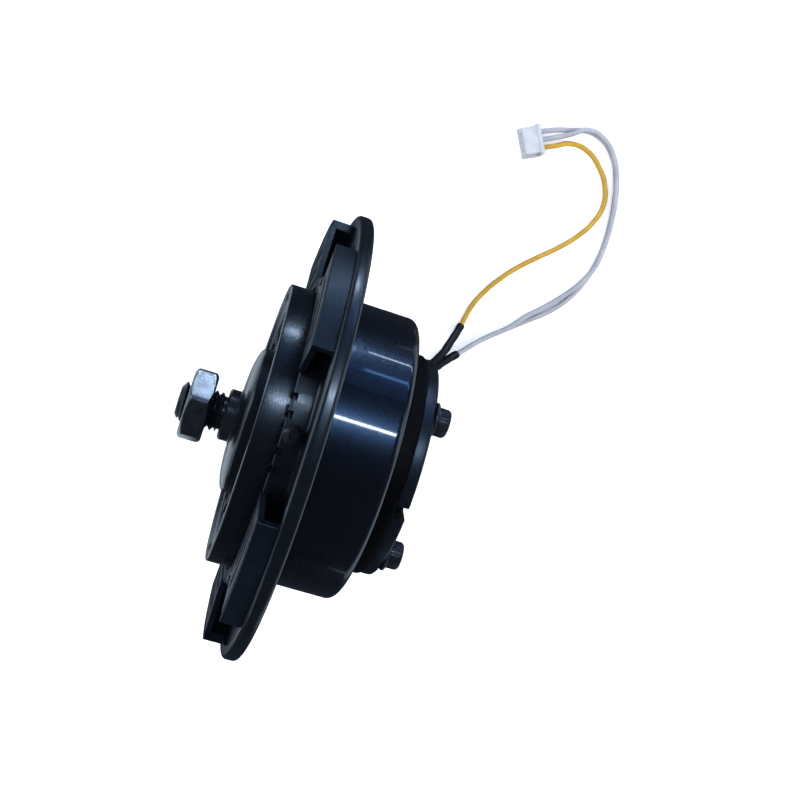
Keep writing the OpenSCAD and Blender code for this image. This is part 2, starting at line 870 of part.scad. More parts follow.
axle();
axle_nut();
bearing_spacer();
axle_circlip();
dust_seal();
front_bearing_inner();
front_bearing_outer();
front_bearing_balls();
front_bearing_cage();
rear_bearing_inner();
rear_bearing_outer();
rear_bearing_balls();
rear_bearing_cage();
front_drum();
ring_flange();
rotor_can();
rotor_screws();
magnets();
stator_core();
front_insulator();
rear_insulator();
coils_a();
coils_b();
coils_c();
terminal_board();
rear_bracket();
rear_plate();
plate_washers();
plate_screws();
lead_grommet();
sleeve_yellow();
sleeve_white();
lead_yellow();
lead_white_a();
lead_white_b();
connector_housing();
connector_contacts();
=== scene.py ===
"""A wheel hub motor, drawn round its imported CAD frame."""

import json
import math

import bmesh
import bpy
from mathutils import Matrix, Vector


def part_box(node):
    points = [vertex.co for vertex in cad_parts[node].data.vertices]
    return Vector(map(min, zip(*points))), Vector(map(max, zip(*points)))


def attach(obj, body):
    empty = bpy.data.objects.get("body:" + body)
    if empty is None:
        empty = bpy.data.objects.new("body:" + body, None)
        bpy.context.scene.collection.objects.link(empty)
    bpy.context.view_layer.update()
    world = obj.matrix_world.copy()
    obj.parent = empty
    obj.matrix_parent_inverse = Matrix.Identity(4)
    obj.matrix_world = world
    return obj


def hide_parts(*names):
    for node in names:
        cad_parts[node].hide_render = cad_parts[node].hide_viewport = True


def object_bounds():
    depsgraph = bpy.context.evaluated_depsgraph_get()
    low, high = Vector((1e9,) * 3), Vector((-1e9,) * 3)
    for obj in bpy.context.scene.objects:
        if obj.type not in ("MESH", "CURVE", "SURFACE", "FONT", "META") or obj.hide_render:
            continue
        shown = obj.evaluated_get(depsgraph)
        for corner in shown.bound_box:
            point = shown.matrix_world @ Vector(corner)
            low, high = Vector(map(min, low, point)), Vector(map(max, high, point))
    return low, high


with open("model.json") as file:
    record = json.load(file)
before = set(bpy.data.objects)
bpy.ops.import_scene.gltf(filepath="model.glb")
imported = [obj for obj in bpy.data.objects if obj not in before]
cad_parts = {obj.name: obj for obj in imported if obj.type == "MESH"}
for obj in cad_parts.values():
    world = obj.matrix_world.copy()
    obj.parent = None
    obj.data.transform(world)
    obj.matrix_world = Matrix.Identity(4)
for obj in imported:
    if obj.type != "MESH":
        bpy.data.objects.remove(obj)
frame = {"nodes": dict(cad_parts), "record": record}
cad_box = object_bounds()
nodes = frame["nodes"]

MM = 0.001

# ---------------------------------------------------------------- camera
# It looks down on the motor from the photo's angle.

camera = bpy.data.objects.new("camera", bpy.data.cameras.new("camera"))
bpy.context.scene.collection.objects.link(camera)
camera.location = (-0.0016, -0.0064, 0.2816)
camera.rotation_euler = [math.radians(a) for a in (-0.02, -10.09, 107.25)]
camera.data.sensor_width = 36
camera.data.lens = 50.4
camera.data.clip_start = 0.01
bpy.context.scene.camera = camera
bpy.context.scene.view_settings.view_transform = "Standard"


# ---------------------------------------------------------------- materials


def new_material(name):
    """A material with its tree, its shader and object coordinates."""
    made = bpy.data.materials.new(name)
    made.use_nodes = True
    tree = made.node_tree
    shader = tree.nodes["Principled BSDF"]
    place = tree.nodes.new("ShaderNodeTexCoord").outputs["Object"]
    return made, tree, shader, place


def pattern(tree, place, size, stretch=(1, 1, 1), detail=3):
    """The factor of a noise whose cells are size millimetres, longer along an axis whose stretch is small."""
    scaled = tree.nodes.new("ShaderNodeMapping")
    scaled.inputs["Scale"].default_value = [s / (size * MM) for s in stretch]
    tree.links.new(place, scaled.inputs["Vector"])
    texture = tree.nodes.new("ShaderNodeTexNoise")
    texture.inputs["Scale"].default_value = 1
    texture.inputs["Detail"].default_value = detail
    tree.links.new(scaled.outputs["Vector"], texture.inputs["Vector"])
    return texture.outputs["Fac"]


def between(tree, factor, low, high, start=0.35, end=0.65):
    """A value that goes from low to high as factor goes from start to end."""
    node = tree.nodes.new("ShaderNodeMapRange")
    for socket, value in zip(("From Min", "From Max", "To Min", "To Max"), (start, end, low, high)):
        node.inputs[socket].default_value = value
    tree.links.new(factor, node.inputs["Value"])
    return node.outputs["Result"]


def blend_colours(tree, factor, first, second):
    """A colour that goes from first, which may be another node's colour, to second with factor."""
    node = tree.nodes.new("ShaderNodeMix")
    node.data_type = "RGBA"
    if isinstance(first, tuple):
        node.inputs["A"].default_value = (*first, 1)
    else:
        tree.links.new(first, node.inputs["A"])
    node.inputs["B"].default_value = (*second, 1)
    tree.links.new(factor, node.inputs["Factor"])
    return node.outputs["Result"]


def bump(tree, shader, factor, height):
    """Gives a shader the bumps of a factor, their height in millimetres."""
    node = tree.nodes.new("ShaderNodeBump")
    node.inputs["Strength"].default_value = 1
    node.inputs["Distance"].default_value = height * MM
    tree.links.new(factor, node.inputs["Height"])
    tree.links.new(node.outputs["Normal"], shader.inputs["Normal"])


def surface(
    name, dark, light, rough, grain, height,
    patch=6, stretch=(1, 1, 1), metal=0, specular=0.5, tint=(1, 1, 1), coat=0, coat_rough=0.06, specks=None,
):
    """A finish: two colours in soft patches, a range of roughness, a grain with its size and height in
    millimetres and, if asked, specks of another colour, such as dust or rubbed spots."""
    made, tree, shader, place = new_material(name)
    shader.inputs["Metallic"].default_value = metal
    shader.inputs["Specular IOR Level"].default_value = specular
    shader.inputs["Specular Tint"].default_value = (*tint, 1)
    shader.inputs["Coat Weight"].default_value = coat
    shader.inputs["Coat Roughness"].default_value = coat_rough
    cloud = pattern(tree, place, patch, detail=4)
    colour = blend_colours(tree, between(tree, cloud, 0, 1), dark, light)
    if specks:
        speck_colour, speck_size, share = specks
        spots = between(tree, pattern(tree, place, speck_size, detail=2), 0, 1, share, share + 0.04)
        colour = blend_colours(tree, spots, colour, speck_colour)
    tree.links.new(colour, shader.inputs["Base Color"])
    fine = pattern(tree, place, grain, stretch, detail=3)
    uneven = pattern(tree, place, 2.5 * grain, stretch, detail=3)
    tree.links.new(between(tree, uneven, *rough), shader.inputs["Roughness"])
    bump(tree, shader, fine, height)
    return made


TURNED = (0.02, 1, 0.02)  # grain that runs round the axle

FINISHES = {
    "black_oxide": dict(
        dark=(0.010, 0.012, 0.018), light=(0.020, 0.024, 0.034), rough=(0.24, 0.38), grain=0.2, height=0.003,
        metal=0.6,
    ),
    "washer_black": dict(
        dark=(0.012, 0.014, 0.018), light=(0.022, 0.026, 0.034), rough=(0.3, 0.42), grain=0.3, height=0.006,
        metal=0.5,
    ),
    "zinc": dict(
        dark=(0.205, 0.22, 0.235), light=(0.31, 0.325, 0.34), rough=(0.24, 0.38), grain=0.07, height=0.003,
        patch=3, metal=1, specks=((0.11, 0.125, 0.145), 0.13, 0.64),
    ),
    "bare_steel": dict(
        dark=(0.42, 0.43, 0.45), light=(0.55, 0.56, 0.58), rough=(0.2, 0.34), grain=0.12, height=0.004,
        metal=1, stretch=TURNED,
    ),
    "bearing_steel": dict(
        dark=(0.58, 0.59, 0.61), light=(0.68, 0.69, 0.71), rough=(0.08, 0.16), grain=0.1, height=0.001,
        metal=1, stretch=TURNED,
    ),
    "cage_brass": dict(
        dark=(0.50, 0.36, 0.14), light=(0.60, 0.45, 0.20), rough=(0.25, 0.4), grain=0.3, height=0.004,
        metal=1,
    ),
    "rubber": dict(
        dark=(0.006, 0.006, 0.006), light=(0.012, 0.012, 0.012), rough=(0.5, 0.7), grain=0.25, height=0.02,
    ),
    "cast_black": dict(
        dark=(0.0018, 0.0024, 0.0038), light=(0.0028, 0.0034, 0.0054), rough=(0.28, 0.38),
        grain=0.16, height=0.003, patch=3, tint=(0.6, 0.8, 1.0), coat=0.5, coat_rough=0.2,
    ),
    "pod_black": dict(
        dark=(0.0014, 0.0024, 0.005), light=(0.0028, 0.0044, 0.009), rough=(0.34, 0.46),
        grain=0.13, height=0.008, tint=(0.6, 0.8, 1.0), specks=((0.012, 0.018, 0.03), 0.22, 0.68),
    ),
    "drum_black": dict(
        dark=(0.0018, 0.0022, 0.0036), light=(0.0024, 0.003, 0.0048), rough=(0.26, 0.34),
        grain=0.14, height=0.0022, patch=3, tint=(0.6, 0.8, 1.0), coat=0.5, coat_rough=0.2,
    ),
    "gloss_black": dict(
        dark=(0.0016, 0.0018, 0.0026), light=(0.002, 0.0022, 0.0032), rough=(0.27, 0.31),
        grain=0.5, height=0.0001, specular=0.45, tint=(0.3, 0.55, 1.0), coat=0.7, coat_rough=0.07,
    ),
    "bracket_black": dict(
        dark=(0.0008, 0.0008, 0.0014), light=(0.0016, 0.0016, 0.0024), rough=(0.5, 0.65),
        grain=0.3, height=0.006, specular=0.08,
    ),
    "satin_black": dict(
        dark=(0.0022, 0.0032, 0.006), light=(0.003, 0.0042, 0.0074), rough=(0.3, 0.36),
        grain=0.18, height=0.003, patch=3, tint=(0.6, 0.8, 1.0),
    ),
    "magnet": dict(
        dark=(0.40, 0.41, 0.44), light=(0.52, 0.53, 0.56), rough=(0.2, 0.32), grain=0.2, height=0.004,
        metal=1,
    ),
    "core_steel": dict(
        dark=(0.16, 0.165, 0.18), light=(0.30, 0.31, 0.33), rough=(0.35, 0.5), grain=0.5, height=0.05,
        metal=1, stretch=TURNED,
    ),
    "insulator": dict(
        dark=(0.60, 0.60, 0.54), light=(0.68, 0.68, 0.62), rough=(0.4, 0.55), grain=0.3, height=0.01,
    ),
    "copper": dict(
        dark=(0.40, 0.14, 0.05), light=(0.55, 0.22, 0.08), rough=(0.25, 0.4), grain=0.5, height=0.08,
        metal=0.8,
    ),
    "board": dict(
        dark=(0.006, 0.06, 0.02), light=(0.01, 0.09, 0.035), rough=(0.2, 0.35), grain=0.3, height=0.004,
    ),
    "sleeve": dict(
        dark=(0.002, 0.002, 0.003), light=(0.005, 0.005, 0.007), rough=(0.34, 0.5), grain=0.35, height=0.008,
    ),
    "lead_yellow": dict(
        dark=(0.38, 0.22, 0.016), light=(0.46, 0.27, 0.024), rough=(0.28, 0.4), grain=0.3, height=0.004,
        patch=5,
    ),
    "lead_white": dict(
        dark=(0.27, 0.275, 0.32), light=(0.35, 0.355, 0.40), rough=(0.28, 0.42), grain=0.3, height=0.004,
        patch=5,
    ),
    "nylon": dict(
        dark=(0.34, 0.355, 0.40), light=(0.41, 0.43, 0.475), rough=(0.34, 0.48), grain=0.3, height=0.004,
        patch=4,
    ),
    "tin": dict(
        dark=(0.55, 0.50, 0.38), light=(0.66, 0.60, 0.46), rough=(0.25, 0.4), grain=0.2, height=0.003,
        metal=1,
    ),
}
materials = {name: surface(name, **finish) for name, finish in FINISHES.items()}

# Each piece of the CAD takes the finish that the record names
for row in frame["record"]["subparts"]:
    nodes[row["node"]].data.materials.clear()
    nodes[row["node"]].data.materials.append(materials[row["material_slot"]])

# ---------------------------------------------------------------- leads


def cord_piece(name, route, diameter, slot_name):
    """A round lead along a route in millimetres, as one smooth open curve."""
    data = bpy.data.curves.new(name, "CURVE")
    data.dimensions = "3D"
    data.bevel_depth = diameter / 2 * MM
    data.bevel_resolution = 4
    data.resolution_u = 8
    data.use_fill_caps = True
    spline = data.splines.new("BEZIER")
    spline.bezier_points.add(len(route) - 1)
    for point, place in zip(spline.bezier_points, route):
        point.co = Vector(place) * MM
        point.handle_left_type = point.handle_right_type = "AUTO"
    data.materials.append(materials[slot_name])
    made = bpy.data.objects.new(name, data)
    bpy.context.scene.collection.objects.link(made)
    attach(made, "stator")
    return made


LEAD = 1.6  # across

# The routes of the leads in millimetres, as in the part
YELLOW_ROUTE = [
    (-13.2, 41.3, -17.1), (-17.8, 41.3, -24.5), (-19.9, 42.6, -27.3), (-22.9, 45, -30.9),
    (-25.8, 48.2, -34.2), (-28.2, 51.1, -36.8), (-30.7, 53.6, -41), (-33.5, 56.2, -45.3),
    (-37.1, 58.5, -49.2), (-40.8, 60.1, -52.2), (-44, 61.4, -54.2), (-46.9, 62.3, -55.4),
    (-50.2, 63.1, -56.2), (-53.7, 63.9, -56.2), (-59.9, 66.8, -56.2), (-64.9, 70.2, -56.2),
    (-69.8, 74.3, -56.2), (-74.8, 79.5, -56.2), (-79.8, 84.9, -56.2), (-85.3, 89.9, -56.2),
    (-91.3, 93.6, -56.2), (-97.4, 95.2, -56.2), (-103.5, 93.9, -56.2),
    (-108.6, 90.3, -56.2), (-112.2, 85.2, -56.2), (-112.5, 79.4, -55.8),
    (-109.6, 74.1, -54.6), (-107.3, 69.6, -54.3),
]
WHITE_A_ROUTE = [
    (-9.8, 42.1, -19.2), (-14.3, 42.1, -26.4), (-16.2, 43.4, -29.6), (-19.3, 45.7, -33.5),
    (-23.1, 49.1, -37.7), (-27.3, 52.7, -41.8), (-29.4, 55.4, -46.4), (-31.6, 57.8, -49.7),
    (-34, 59.9, -52), (-36.1, 61.9, -53.4), (-38.1, 63.7, -54.1), (-40.1, 65.5, -54.4),
    (-43.4, 68.5, -54.5), (-46.6, 71.9, -54.5), (-50.8, 76.8, -54.5), (-55.8, 81.1, -55),
    (-60.6, 86.2, -56.2), (-65.8, 90.9, -55.6), (-71.7, 95.1, -54.7), (-78, 97.9, -54.5),
    (-85.1, 98.9, -54.5), (-92.3, 98.9, -54.5), (-99.4, 98.2, -54.5), (-106.6, 96.4, -54.5),
    (-112.7, 93.6, -54.5), (-117.1, 88.9, -54.5), (-118.1, 83.2, -54.5),
    (-114.7, 77.8, -54.4), (-111.8, 72.9, -54.3), (-109.4, 68.5, -54.3),
]
WHITE_B_ROUTE = [
    (-9.8, 40.5, -19.2), (-14.3, 40.5, -26.6), (-16.6, 41.8, -30.2), (-19.9, 44.3, -34.1),
    (-23.7, 47.7, -38.3), (-27.5, 51.3, -42.6), (-29.4, 54, -47.2), (-31.6, 56.6, -50.7),
    (-33.8, 58.9, -53.2), (-35.9, 61.3, -55), (-37.9, 63.5, -55.7), (-40.3, 65.9, -56.1),
    (-43.6, 68.9, -56.2), (-46.6, 72.1, -56.2), (-50.8, 77.1, -56.2), (-54.9, 82.1, -56.2),
    (-59.4, 87.6, -56.2), (-64.9, 92.4, -56.2), (-71.4, 96, -56.2), (-78, 98.1, -56.2),
    (-85.1, 99.1, -56.2), (-92.3, 99.1, -56.2), (-99.4, 98.4, -56.2), (-106.5, 96.7, -56.2),
    (-112.7, 93.8, -56.2), (-117, 89.1, -56.2), (-118.1, 83.4, -56.2),
    (-116.3, 77.3, -55.8), (-114, 71.7, -54.7), (-111.6, 67.3, -54.3),
]

# The yellow sleeve follows its lead, and the white one goes midway between the pair
YELLOW_SLEEVE_ROUTE = [(-15.9, 41.3, -21.5), *YELLOW_ROUTE[1:12]]
WHITE_SLEEVE_ROUTE = [
    (-12.5, 41.3, -23.6),
    *((Vector(a) + Vector(b)) / 2 for a, b in zip(WHITE_A_ROUTE[1:11], WHITE_B_ROUTE[1:11])),
]


# ---------------------------------------------------------------- mesh tools
# Shapes are drawn in millimetres round the axle: a radius, a direction in degrees as in the
# part (270 is the top), and a place along the axle.


def turned_point(radius, angle, along):
    """A point in metres from its radius, direction and place along the axle."""
    a = math.radians(angle)
    return (radius * math.cos(a) * MM, along * MM, -radius * math.sin(a) * MM)


def rounded(outline, steps=4):
    """A closed outline of (radius, along, fillet), with each corner rounded to its fillet."""
    points = []
    count = len(outline)
    for i, (radius, along, fillet) in enumerate(outline):
        here = Vector((radius, along))
        if not fillet:
            points.append(here)
            continue
        back = Vector(outline[i - 1][:2]) - here
        on = Vector(outline[(i + 1) % count][:2]) - here
        half = back.angle(on) / 2
        reach = min(fillet / math.tan(half), 0.49 * back.length, 0.49 * on.length)
        centre = here + (back.normalized() + on.normalized()).normalized() * (reach / math.cos(half))
        first = here + back.normalized() * reach - centre
        last = here + on.normalized() * reach - centre
        swing = first.angle(last)
        for step in range(steps + 1):
            t = step / steps
            way = first * math.sin((1 - t) * swing) + last * math.sin(t * swing)
            points.append(centre + way / math.sin(swing))
    return points


def add_turned(mesh, outline, turns=192, closed=True):
    """Adds an outline turned round the axle to a bmesh."""
    rings = []
    for radius, along in outline:
        if radius < 1e-4:
            rings.append([mesh.verts.new(turned_point(0, 0, along))] * turns)
        else:
            rings.append([mesh.verts.new(turned_point(radius, k * 360 / turns, along)) for k in range(turns)])
    pairs = list(zip(rings, rings[1:]))
    if closed:
        pairs.append((rings[-1], rings[0]))
    for one, other in pairs:
        for k in range(turns):
            corners = []
            for v in (one[k], one[(k + 1) % turns], other[(k + 1) % turns], other[k]):
                if v not in corners:
                    corners.append(v)
            if len(corners) > 2:
                mesh.faces.new(corners)


def add_sector(mesh, radii, angles, low, high, solid=lambda i, j: True):
    """Adds a flat body between two places along the axle. It is a grid of cells between the radii and the
    directions, and solid says which cells it has."""
    levels = []
    for along in (low, high):
        levels.append({
            (i, j): mesh.verts.new(turned_point(radius, angle, along))
            for i, radius in enumerate(radii) for j, angle in enumerate(angles)
        })
    rows, columns = len(radii) - 1, len(angles) - 1

    def has(i, j):
        return 0 <= i < rows and 0 <= j < columns and solid(i, j)

    for i in range(rows):
        for j in range(columns):
            if not has(i, j):
                continue
            square = [(i, j), (i + 1, j), (i + 1, j + 1), (i, j + 1)]
            mesh.faces.new([levels[0][c] for c in square])
            mesh.faces.new([levels[1][c] for c in reversed(square)])
            sides = [((i - 1, j), (0, 3)), ((i + 1, j), (1, 2)), ((i, j - 1), (0, 1)), ((i, j + 1), (3, 2))]
            for beside, (a, b) in sides:
                if not has(*beside):
                    corners = ((0, a), (0, b), (1, b), (1, a))
                    mesh.faces.new([levels[level][square[c]] for level, c in corners])
    loose = [v for level in levels for v in level.values() if not v.link_faces]
    bmesh.ops.delete(mesh, geom=loose, context="VERTS")


def ways(angle):
    """The directions at an angle round the axle: outwards, across, and along the axle."""
    a = math.radians(angle)
    return Vector((math.cos(a), 0, -math.sin(a))), Vector((-math.sin(a), 0, -math.cos(a))), Vector((0, 1, 0))


def add_block(mesh, size, place):
    """Adds a block to a bmesh: its size in millimetres along the radius, across it and along the axle, and
    its middle as (radius, angle, along)."""
    radius, angle, along = place
    out, across, axle = ways(angle)
    for v in bmesh.ops.create_cube(mesh, size=1)["verts"]:
        x, y, z = v.co.x * size[0], v.co.y * size[1], v.co.z * size[2]
        v.co = (out * (radius + x) + across * y + axle * (along + z)) * MM


def spread(first, last, step):
    """Evenly spaced values from first to last, at most step apart."""
    count = max(1, math.ceil(abs(last - first) / step - 1e-9))
    return [first + (last - first) * k / count for k in range(count + 1)]


def round_edges(made, width, segments, sharp):
    """Rounds an object's edges that are sharper than an angle in degrees, to a width in millimetres."""
    edge = made.modifiers.new("edges", "BEVEL")
    edge.width = width * MM
    edge.segments = segments
    edge.limit_method = "ANGLE"
    edge.angle_limit = math.radians(sharp)
    edge.harden_normals = True
    edge.use_clamp_overlap = True


def piece(name, mesh, body, finish, nodes_for=(), bevel=0.0, sharp=32, segments=2, weld=True):
    """Makes an object from a bmesh: it rides on a body, stands for CAD nodes and takes a finish."""
    if weld:
        bmesh.ops.remove_doubles(mesh, verts=mesh.verts, dist=1e-6)
    bmesh.ops.recalc_face_normals(mesh, faces=mesh.faces)
    data = bpy.data.meshes.new(name)
    mesh.to_mesh(data)
    mesh.free()
    data.shade_smooth()
    data.materials.append(materials[finish])
    made = bpy.data.objects.new(name, data)
    bpy.context.scene.collection.objects.link(made)
    if bevel:
        round_edges(made, bevel, segments, sharp)
    else:
        data.set_sharp_from_angle(angle=math.radians(sharp))
    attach(made, body)
    if nodes_for:
        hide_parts(*nodes_for)
    return made


def carve(target, mesh):
    """Cuts the shapes in a bmesh out of an object's mesh."""
    bmesh.ops.recalc_face_normals(mesh, faces=mesh.faces)
    data = bpy.data.meshes.new("cutter")
    mesh.to_mesh(data)
    mesh.free()
    cutter = bpy.data.objects.new("cutter", data)
    bpy.context.scene.collection.objects.link(cutter)
    cut = target.modifiers.new("cut", "BOOLEAN")
    cut.operation = "DIFFERENCE"
    cut.solver = "EXACT"
    cut.object = cutter
    kept = [m for m in target.modifiers if m.type == "BEVEL"]
    for m in kept:
        m.show_viewport = False
    bpy.context.view_layer.update()
    evaluated = target.evaluated_get(bpy.context.evaluated_depsgraph_get())
    cut_mesh = bpy.data.meshes.new_from_object(evaluated)
    target.modifiers.remove(cut)
    target.data = cut_mesh
    for m in kept:
        m.show_viewport = True
    bpy.data.objects.remove(cutter)


def bar(mesh, radius, depth, sides):
    """The vertices of a new round bar in a bmesh, along Z and round the origin, in the units it is given."""
    return bmesh.ops.create_cone(
        mesh, cap_ends=True, segments=sides, radius1=radius, radius2=radius, depth=depth,
    )["verts"]


def add_round(mesh, radius, place, depth, lean="radius", sides=32):
    """Adds a round bar to a bmesh, with its middle at (radius, angle, along). It lies along the radius or the
    axle."""
    r, angle, along = place
    out, _, axle = ways(angle)
    main, side = (out, axle) if lean == "radius" else (axle, out)
    other = main.cross(side)
    middle = (out * r + axle * along) * MM
    for v in bar(mesh, radius * MM, depth * MM, sides):
        v.co = middle + side * v.co.x + other * v.co.y + main * v.co.z


def local_ring(mesh, middle, radii, along):
    """A ring round a line that stands parallel to the axle at middle = (radius, angle)."""
    x, _, z = turned_point(*middle, 0)
    points = []
    for k, radius in enumerate(radii):
        a = 2 * math.pi * k / len(radii)
        aside, down = radius * MM * math.cos(a), radius * MM * math.sin(a)
        points.append(mesh.verts.new((x + aside, along * MM, z - down)))
    return points


def skin(mesh, rings, close_start=False, close_end=False):
    """Joins each ring of vertices to the next with faces, and fills the first and the last if asked."""
    for one, other in zip(rings, rings[1:]):
        for k in range(len(one)):
            mesh.faces.new([one[k], one[(k + 1) % len(one)], other[(k + 1) % len(one)], other[k]])
    if close_start:
        mesh.faces.new(rings[0])
    if close_end:
        mesh.faces.new(list(reversed(rings[-1])))


# ---------------------------------------------------------------- sizes, in millimetres and degrees


def ends(node):
    """Where a node of the CAD begins and ends along the axle."""
    return [round(corner.y / MM, 3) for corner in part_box(node)]


def reach(node):
    """How far a node of the CAD reaches from the axle, to the side or up or down."""
    low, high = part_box(node)
    return round(max(-low.x, high.x, -low.z, high.z) / MM, 3)


# Along the axle, from the front
AXLE_TIP, AXLE_BACK = ends("axle")
NUT_FROM, NUT_TO = ends("axle_nut")
BOSS_FRONT, HUB_END = ends("front_drum")
DRUM_FRONT, DRUM_FLOOR, SPIGOT_END = 6.2, 9.4, 16.6
BEARING_FRONT, BEARING_BACK = ends("front_bearing_outer")
REAR_BEARING = ends("rear_bearing_outer")[0]
RING_FRONT, RING_BACK = ends("ring_flange")
LIP_FRONT = RING_BACK - 3.5
DRUM_BACK, CAN_BACK = ends("rotor_can")
WEB_AT, WEB_END = 37, 39.2
NECK_BACK, PLATE_BACK = ends("rear_plate")
HEAD_AT = ends("plate_washers")[1]
HEAD_END = ends("plate_screws")[1]

# From the axle
COLLAR_R, BEARING_R, DRUM_R = reach("axle"), reach("front_bearing_outer"), reach("front_drum")
CAN_R, RING_R, NECK_R, PLATE_R = (
    reach(node) for node in ("rotor_can", "ring_flange", "rear_bracket", "rear_plate")
)
CAN_BORE_R = reach("magnets")  # they lie on the inside of the can
HUB_R, HUB_BORE_R, SLEEVE_R, POD_R, SCREW_R = 17, 12.8, CAN_R + 3, 55.4, 24.5

# Round the axle
TOP, PODS, POD_SPAN, NOTCH_DIR = 270, 5, 32, 291
GAPS = [TOP + k * 360 / PODS for k in range(PODS)]
SCREW_DIRS = [238 + 90 * k for k in range(4)]

# ---------------------------------------------------------------- rotor

# The can: a tube whose rear end turns inwards
can = bmesh.new()
add_turned(can, rounded([
    (CAN_BORE_R, DRUM_BACK, 0), (CAN_R, DRUM_BACK, 0.3), (CAN_R, CAN_BACK, 2), (30, CAN_BACK, 0.4),
    (30, CAN_BACK - 2.2, 0.4), (CAN_BORE_R, CAN_BACK - 2.2, 0.5),
], steps=8), turns=256)
piece("can", can, "rotor", "gloss_black", ["rotor_can"])

# The front drum: a domed boss, a recess and a stepped rim, with the bearing hub behind
drum = bmesh.new()
dome = []
for k in range(13):
    t = math.radians(90 * k / 12)
    dome.append((8.6 + 9.9 * math.sin(t), BOSS_FRONT + 2.2 * (1 - math.cos(t)), 0))
add_turned(drum, rounded([
    (7.7, BOSS_FRONT, 0.2), *dome, (18.9, DRUM_FLOOR, 0.8), (29.8, DRUM_FLOOR, 0.6),
    (30.2, 8.5, 0.3), (31.4, 8.3, 0.3), (31.6, 7.4, 0.3), (32.8, 7.1, 0.3), (33.2, DRUM_FRONT, 0.35),
    (DRUM_R, DRUM_FRONT, 0.5), (DRUM_R, DRUM_BACK, 0.3), (CAN_BORE_R, DRUM_BACK, 0),
    (CAN_BORE_R, SPIGOT_END, 0.3), (30.2, SPIGOT_END, 0.3), (30.2, DRUM_BACK, 0.5), (HUB_R, DRUM_BACK, 0.8),
    (HUB_R, HUB_END, 0.4), (BEARING_R, HUB_END, 0.3), (BEARING_R, REAR_BEARING, 0),
    (HUB_BORE_R, REAR_BEARING, 0), (HUB_BORE_R, BEARING_BACK, 0), (BEARING_R, BEARING_BACK, 0),
    (BEARING_R, BEARING_FRONT, 0), (9.2, BEARING_FRONT, 0), (9.2, 3.9, 0), (7.7, 3.9, 0),
], steps=5), turns=224)
piece("drum", drum, "rotor", "drum_black", ["front_drum"])

# The ribs in the drum's recess
ribs = bmesh.new()
for k in range(2 * PODS):
    direction = TOP + (k + 0.5) * 180 / PODS
    add_block(ribs, (11.4, 1.6, 1.9), (24.3, direction, DRUM_FLOOR - 0.45))
    add_block(ribs, (2.2, 3.4, 2.4), (28.6, direction, DRUM_FLOOR - 0.6))
piece("drum_ribs", ribs, "rotor", "drum_black", bevel=0.35, segments=3)

# The flange: a sleeve on the can, a disc and its lip, and in each gap a bolt hole, a screw hole and notches
flange = bmesh.new()
add_turned(flange, rounded([
    (CAN_R, RING_FRONT + 0.4, 0), (SLEEVE_R, RING_FRONT + 0.4, 0.5), (SLEEVE_R, 17.4, 0.7),
    (53.6, 17.4, 0.3), (53.9, LIP_FRONT, 0.3), (RING_R, LIP_FRONT, 1.0), (RING_R, RING_BACK, 1.1),
    (CAN_R, RING_BACK, 0),
], steps=5), turns=240)
flange = piece("wheel_flange", flange, "rotor", "cast_black", ["ring_flange"], sharp=30)
cuts = bmesh.new()
for gap in GAPS:
    add_round(cuts, 2.1, (48, gap, 18.5), 6, lean="axle")
    add_round(cuts, 1.6, (39, gap, 14.6), 8)
    for tooth in (-12, -6, 6, 12):
        add_block(cuts, (6, 1.8, 3), (38.5, gap + tooth, RING_FRONT + 0.1))
carve(flange, cuts)
flange.data.shade_smooth()
flange.data.set_sharp_from_angle(angle=math.radians(30))

# The pods: slotted plates forward of the lip, each with an outer wall and two bars across its slots
pods = bmesh.new()
SLOTS = ((42.2, 44.6, POD_SPAN - 11), (47.2, 49.6, POD_SPAN - 9))  # inner and outer radius, and degrees
for gap in GAPS:
    middle = gap + 180 / PODS
    edge = POD_SPAN / 2
    directions = sorted({
        middle + a for half in (edge, SLOTS[0][2] / 2, SLOTS[1][2] / 2) for a in (-half, half)
    } | {middle + a for a in spread(-edge + 1.5, edge - 1.5, 1.5)})
    directions = [a for k, a in enumerate(directions) if k == 0 or a - directions[k - 1] > 0.2]
    radii = [39.4, *SLOTS[0][:2], *SLOTS[1][:2], 53, POD_R - 0.3]

    def is_solid(i, j):
        """Whether a cell of the pod's plate is outside its slots."""
        a = (directions[j] + directions[j + 1]) / 2 - middle
        return not any(radii[i] == inner and abs(a) < span / 2 for inner, _, span in SLOTS)

    add_sector(pods, radii, directions, RING_FRONT, RING_FRONT + 1.6, is_solid)
    add_sector(pods, [53.1, POD_R], directions, RING_FRONT, LIP_FRONT + 1.4)
    for side in (-1, 1):
        add_block(pods, (13, 1.2, 1.6), (47.5, middle + side * POD_SPAN / 6, RING_FRONT + 1.4))
piece("flange_pods", pods, "rotor", "pod_black", bevel=0.28, segments=3, weld=False)

# ---------------------------------------------------------------- axle and nut

PITCH, THREAD_R = 1.5, 5


def thread_radius(angle, along, outer, depth, start, end):
    """The radius of a screw thread that runs out at both of its ends."""
    phase = ((along / PITCH - angle / 360) % 1) * 2 - 1
    crest = min(1, max(0, 1.35 * (1 - abs(phase)) - 0.12))
    if along < start + 0.1 or along > end - 0.1:
        crest *= min(1, max(0, (along - start) / 1.2)) * min(1, max(0, (end - along) / 0.8))
    return outer - depth * (1 - crest)


# The axle: its threaded end, drawn as a true helix, and its turned rest
axle = bmesh.new()
TURNS, THREAD_DEPTH, THREAD_FROM, THREAD_TO = 72, 0.82, AXLE_TIP + 0.6, -0.7
directions = [k * 360 / TURNS for k in range(TURNS)]


def axle_ring(along, radius_of):
    """A ring of the axle's skin, whose radius depends on the direction."""
    return [axle.verts.new(turned_point(radius_of(a), a, along)) for a in directions]


